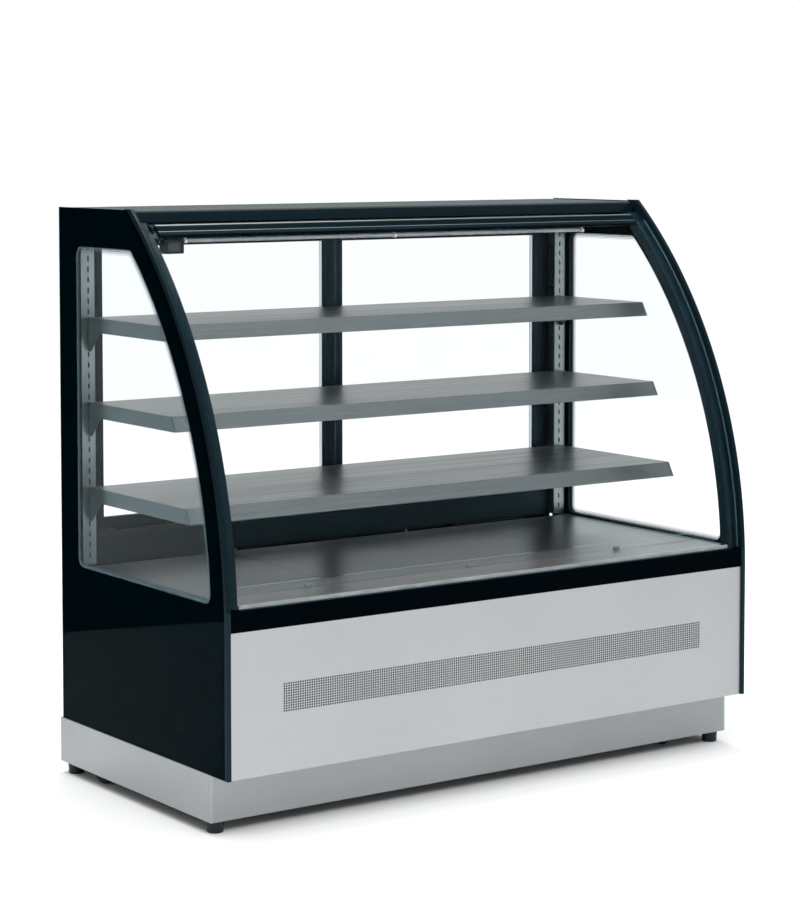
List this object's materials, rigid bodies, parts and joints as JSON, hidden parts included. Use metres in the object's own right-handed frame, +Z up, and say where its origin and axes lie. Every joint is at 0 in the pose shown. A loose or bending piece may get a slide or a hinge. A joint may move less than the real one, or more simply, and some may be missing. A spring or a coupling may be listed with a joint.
{
  "type": "glass display showcase",
  "caption": "Curved-glass refrigerated counter display case with black cheeks, stainless front, shelves, lift-up glass, sliding rear doors and castors.",
  "frame": {"origin": "on the floor under the middle of the case", "axes": "+X along the width, -Y towards the customer, +Z up"},
  "size_m": [1.5, 0.76, 1.35],
  "materials": {
    "stainless": "brushed",
    "galvanised": "galvanised sheet",
    "black_paint": "satin black paint",
    "black_anodised": "black anodised",
    "black_enamel": "glossy black enamel behind glass",
    "clear_glass": "clear toughened glass",
    "aluminium_light": "satin anodised",
    "grey_paint": "semi-gloss grey paint",
    "top_grey": "satin grey paint",
    "black_plastic": "moulded",
    "white_plastic": "frosted",
    "foam": "rigid foam",
    "cast_black": "black enamelled shell",
    "coil_fins": "fins on copper tube",
    "tyre_black": "satin",
    "zinc": "zinc plated"
  },
  "bodies": {
    "cabinet": {"chassis_frame": "black_paint", "base_pan": "galvanised", "plinth_front": "stainless", "plinth_sides": "stainless", "levelling_feet": "black_plastic", "castor_plates": "zinc", "front_panel": "stainless", "front_rail": "black_enamel", "glass_gutter": "aluminium_light", "rear_panel": "black_paint", "tub_insulation": "foam", "tub_liner": "stainless", "deck_panels": "stainless", "return_grille": "stainless", "deck_riser": "clear_glass", "compressor": "cast_black", "condenser_coil": "coil_fins", "condenser_shroud": "black_paint", "condenser_fan_motor": "black_paint", "evaporator_coil": "coil_fins", "evaporator_fan_plate": "galvanised", "control_box": "black_plastic", "side_glass_left": "clear_glass", "side_glass_right": "clear_glass", "side_masks": "black_enamel", "side_inner_panes": "clear_glass", "side_spacers": "aluminium_light", "side_profiles": "black_anodised", "rear_frame": "black_anodised", "door_tracks": "black_plastic", "shelf_uprights": "stainless", "shelf_top": "grey_paint", "shelf_middle": "grey_paint", "shelf_bottom": "grey_paint", "shelf_brackets": "grey_paint", "top_panel": "top_grey", "canopy_rail": "black_enamel", "lamp_housing": "stainless", "led_tube": "white_plastic", "display_unit": "black_plastic", "hinge_brackets": "black_anodised"},
    "front_glass": {"front_glass": "clear_glass", "glass_hinge": "black_anodised"},
    "door_left": {"door_left_frame": "black_anodised", "door_left_glass": "clear_glass"},
    "door_right": {"door_right_frame": "black_anodised", "door_right_glass": "clear_glass"},
    "condenser_fan": {"condenser_fan": "black_plastic"},
    "evaporator_fan_left": {"evaporator_fan_left": "black_plastic"},
    "evaporator_fan_right": {"evaporator_fan_right": "black_plastic"},
    "light_switch": {"light_switch": "black_plastic"},
    "power_switch": {"power_switch": "black_plastic"},
    "castor_fork_fl": {"castor_fork_fl": "zinc"},
    "castor_wheel_fl": {"castor_wheel_fl": "tyre_black"},
    "castor_fork_fr": {"castor_fork_fr": "zinc"},
    "castor_wheel_fr": {"castor_wheel_fr": "tyre_black"},
    "castor_fork_rl": {"castor_fork_rl": "zinc"},
    "castor_wheel_rl": {"castor_wheel_rl": "tyre_black"},
    "castor_fork_rr": {"castor_fork_rr": "zinc"},
    "castor_wheel_rr": {"castor_wheel_rr": "tyre_black"}
  },
  "joints": [
    {"name": "front_glass_lift", "type": "hinge", "parent": "cabinet", "child": "front_glass", "pos_m": [0, 0.01296, 1.30196], "axis": [-1, 0, 0], "range_deg": [0, 60]},
    {"name": "door_left_slide", "type": "slide", "parent": "cabinet", "child": "door_left", "axis": [1, 0, 0], "range_m": [0, 0.64]},
    {"name": "door_right_slide", "type": "slide", "parent": "cabinet", "child": "door_right", "axis": [-1, 0, 0], "range_m": [0, 0.64]},
    {"name": "condenser_fan_spin", "type": "hinge", "parent": "cabinet", "child": "condenser_fan", "pos_m": [0.27, -0.185, 0.232], "axis": [0, 1, 0], "continuous": true},
    {"name": "evaporator_fan_left_spin", "type": "hinge", "parent": "cabinet", "child": "evaporator_fan_left", "pos_m": [-0.33, -0.03, 0.455], "axis": [0, 1, 0], "continuous": true},
    {"name": "evaporator_fan_right_spin", "type": "hinge", "parent": "cabinet", "child": "evaporator_fan_right", "pos_m": [0.33, -0.03, 0.455], "axis": [0, 1, 0], "continuous": true},
    {"name": "light_switch_rock", "type": "hinge", "parent": "cabinet", "child": "light_switch", "pos_m": [0.44, 0.368, 0.473], "axis": [-1, 0, 0], "range_deg": [0, 16]},
    {"name": "power_switch_rock", "type": "hinge", "parent": "cabinet", "child": "power_switch", "pos_m": [0.56, 0.368, 0.473], "axis": [-1, 0, 0], "range_deg": [0, 16]},
    {"name": "castor_fl_swivel", "type": "hinge", "parent": "cabinet", "child": "castor_fork_fl", "pos_m": [-0.622, -0.24, 0.056], "axis": [0, 0, 1], "continuous": true},
    {"name": "castor_fl_roll", "type": "hinge", "parent": "castor_fork_fl", "child": "castor_wheel_fl", "pos_m": [-0.59757, -0.23111, 0.027], "axis": [-0.342, 0.9397, 0], "continuous": true},
    {"name": "castor_fr_swivel", "type": "hinge", "parent": "cabinet", "child": "castor_fork_fr", "pos_m": [0.622, -0.24, 0.056], "axis": [0, 0, 1], "continuous": true},
    {"name": "castor_fr_roll", "type": "hinge", "parent": "castor_fork_fr", "child": "castor_wheel_fr", "pos_m": [0.59757, -0.24889, 0.027], "axis": [0.342, -0.9397, 0], "continuous": true},
    {"name": "castor_rl_swivel", "type": "hinge", "parent": "cabinet", "child": "castor_fork_rl", "pos_m": [-0.696, 0.203, 0.056], "axis": [0, 0, 1], "continuous": true},
    {"name": "castor_rl_roll", "type": "hinge", "parent": "castor_fork_rl", "child": "castor_wheel_rl", "pos_m": [-0.7173, 0.21791, 0.027], "axis": [-0.5736, -0.8192, 0], "continuous": true},
    {"name": "castor_rr_swivel", "type": "hinge", "parent": "cabinet", "child": "castor_fork_rr", "pos_m": [0.694, 0.245, 0.056], "axis": [0, 0, 1], "continuous": true},
    {"name": "castor_rr_roll", "type": "hinge", "parent": "castor_fork_rr", "child": "castor_wheel_rr", "pos_m": [0.707, 0.26752, 0.027], "axis": [-0.866, 0.5, 0], "continuous": true}
  ]
}
